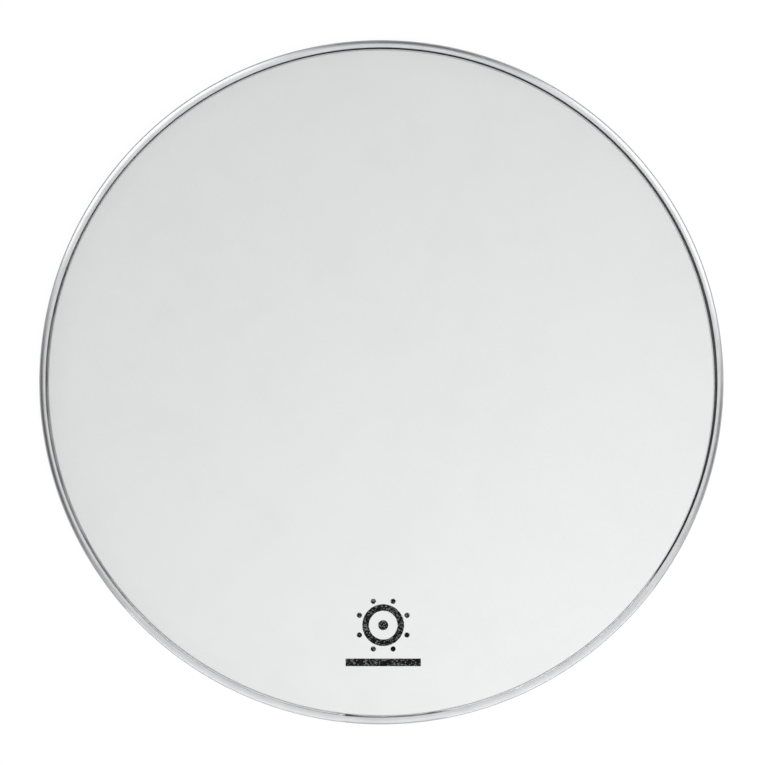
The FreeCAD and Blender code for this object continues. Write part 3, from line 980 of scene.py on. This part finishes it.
# Key light: place in metres from the head's middle, width in metres and power in watts.
KEY_LIGHT = ((0.37, -0.53, 1.02), 0.7, 8.9)
# The floor: share of it that the camera sees as white, how bright that white is, radius and points.
FLOOR_WHITE, FLOOR_GLOW, FLOOR_RADIUS, FLOOR_POINTS = 0.9, 1.07, 9.0, 96
# The camera: focal length and sensor width in millimetres, width of its view, and its place over the head.
LENS, SENSOR, VIEW_WIDTH, CAMERA_ASIDE = 150.0, 36.0, 640.9 * MM, (0.9 * MM, -0.2 * MM)


class DRUMHEAD_OT_stage(bpy.types.Operator):
    """Pale floor, soft studio light and a camera that looks straight down"""

    bl_idname = "drum_head.stage"
    bl_label = "Stage"

    def execute(self, context):
        _, colours = settings()
        scene = context.scene
        scene.view_settings.view_transform = "Standard"
        add_floor(colours)
        add_world(scene)
        add_light("key_light", *KEY_LIGHT)
        add_camera(scene)
        return {"FINISHED"}


def add_floor(colours):
    """A round floor that the camera sees as white and the hoop reflects as grey."""
    material, r = new_material("studio_floor")
    matt = r.node("ShaderNodeBsdfDiffuse", None, {"Color": (*colours.floor, 1.0)})
    white = r.node("ShaderNodeEmission", None, {"Color": (*WHITE, 1.0), "Strength": FLOOR_GLOW})
    seen = r.node("ShaderNodeLightPath", output=0)
    both = r.node("ShaderNodeMixShader", None, {0: seen * FLOOR_WHITE, 1: matt, 2: white})
    r.node("ShaderNodeOutputMaterial", None, {"Surface": both})
    angles = [FULL_TURN * index / FLOOR_POINTS for index in range(FLOOR_POINTS)]
    edge = [(FLOOR_RADIUS * math.cos(angle), FLOOR_RADIUS * math.sin(angle), 0.0) for angle in angles]
    floor = add_object("studio_floor", edge, [tuple(range(FLOOR_POINTS))], material)


def add_world(scene):
    """Soft boxes round the horizon with dark gaps between them, even light overhead, white to the camera."""
    world = bpy.data.worlds.new("studio")
    world.use_nodes = True
    scene.world = world
    r = Recipe(world.node_tree)
    x, y, z = r.parts(r.node("ShaderNodeTexCoord", output=0))
    bearing = r.math("ARCTAN2", y, x)
    level = BETWEEN_BOXES
    for centre, half_width, brightness in SOFT_BOXES:
        inner, outer = (math.cos(math.radians(half_width + fade)) for fade in (-BOX_FADE, BOX_FADE))
        facing = r.math("COSINE", bearing - math.radians(centre))
        level = level + r.between(facing, outer, inner) * (brightness - BETWEEN_BOXES)
    level = level + r.between(z, OVERHEAD_START, OVERHEAD_FULL) * (OVERHEAD - level)
    lit = r.node("ShaderNodeBackground", None, {"Color": (*SKY_TINT, 1.0), "Strength": level})
    plain = r.node("ShaderNodeBackground", None, {"Color": (*WHITE, 1.0), "Strength": 1.0})
    seen = r.node("ShaderNodeLightPath", output=0)
    both = r.node("ShaderNodeMixShader", None, {0: seen, 1: lit, 2: plain})
    r.node("ShaderNodeOutputWorld", None, {"Surface": both})


def add_light(name, place, size, power):
    """A round lamp aimed at the head's middle, seen neither by the camera nor in reflections."""
    lamp = bpy.data.lights.new(name, "AREA")
    lamp.shape, lamp.size, lamp.energy = "DISK", size, power
    light = bpy.data.objects.new(name, lamp)
    light.location = place
    light.rotation_euler = (-Vector(place)).to_track_quat("-Z", "Y").to_euler()
    light.visible_camera = light.visible_glossy = False
    bpy.context.scene.collection.objects.link(light)


def add_camera(scene):
    """Straight down on the playing surface, with a long lens."""
    data = bpy.data.cameras.new("camera")
    data.lens, data.sensor_width = LENS, SENSOR
    camera = bpy.data.objects.new("camera", data)
    camera.location = (*CAMERA_ASIDE, CAD_BOX[1].z + VIEW_WIDTH * LENS / SENSOR)
    bpy.context.scene.collection.objects.link(camera)
    scene.camera = camera


class DRUMHEAD_PT_panel(bpy.types.Panel):
    """The drum head's pieces, sizes and colours"""

    bl_label = "Drum Head"
    bl_idname = "DRUMHEAD_PT_panel"
    bl_space_type = "VIEW_3D"
    bl_region_type = "UI"
    bl_category = "Drum Head"

    def draw(self, context):
        column = self.layout.column()
        for operator in OPERATORS:
            column.operator(operator.bl_idname)
        for group in (context.scene.drum_head_sizes, context.scene.drum_head_colours):
            for name in group.__annotations__:
                column.prop(group, name)


OPERATORS = (
    DRUMHEAD_OT_hoop,
    DRUMHEAD_OT_film,
    DRUMHEAD_OT_coating,
    DRUMHEAD_OT_resin,
    DRUMHEAD_OT_filler,
    DRUMHEAD_OT_key,
    DRUMHEAD_OT_mark,
    DRUMHEAD_OT_stage,
)
CLASSES = (DrumHeadSizes, DrumHeadColours, *OPERATORS, DRUMHEAD_PT_panel)


def register():
    for cls in CLASSES:
        bpy.utils.register_class(cls)
    bpy.types.Scene.drum_head_sizes = bpy.props.PointerProperty(type=DrumHeadSizes)
    bpy.types.Scene.drum_head_colours = bpy.props.PointerProperty(type=DrumHeadColours)


def unregister():
    del bpy.types.Scene.drum_head_colours
    del bpy.types.Scene.drum_head_sizes
    for cls in reversed(CLASSES):
        bpy.utils.unregister_class(cls)


def main():
    register()
    bpy.ops.drum_head.flesh_hoop()
    bpy.ops.drum_head.film_membrane()
    bpy.ops.drum_head.white_coating()
    bpy.ops.drum_head.potting_resin()
    bpy.ops.drum_head.seam_filler()
    bpy.ops.drum_head.joint_key()
    bpy.ops.drum_head.printed_mark()
    bpy.ops.drum_head.stage()


if __name__ == "__main__":
    main()
